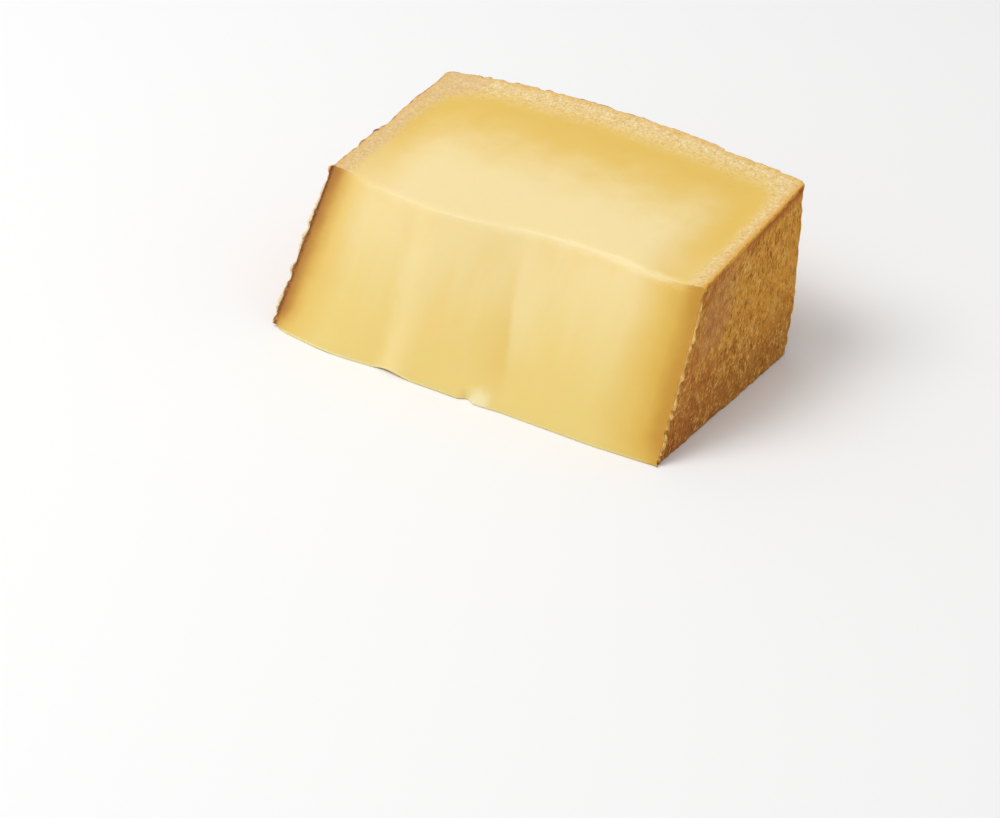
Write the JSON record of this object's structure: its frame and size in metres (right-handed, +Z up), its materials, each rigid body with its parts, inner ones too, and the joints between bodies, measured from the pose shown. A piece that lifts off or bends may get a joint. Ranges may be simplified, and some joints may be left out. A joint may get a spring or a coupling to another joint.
{
  "type": "cheese wedge",
  "caption": "Block of hard mountain cheese cut from a round wheel, with brown rind on its ends and back, lying on a cut side.",
  "frame": {"origin": "bottom centre of the block's bounding box, on the face it rests on", "axes": "+X from one flat rind to the other, along the wheel's axis; +Y from the nose cut back to the wheel's rim; +Z up"},
  "size_m": [0.12, 0.0844, 0.046],
  "materials": {
    "cheese": "satin, slightly waxy pale yellow paste on the cut faces, darker golden towards a dry, grained brown rind on both ends and the back"
  },
  "bodies": {
    "root": {"cheese_wedge": "cheese"}
  },
  "joints": []
}
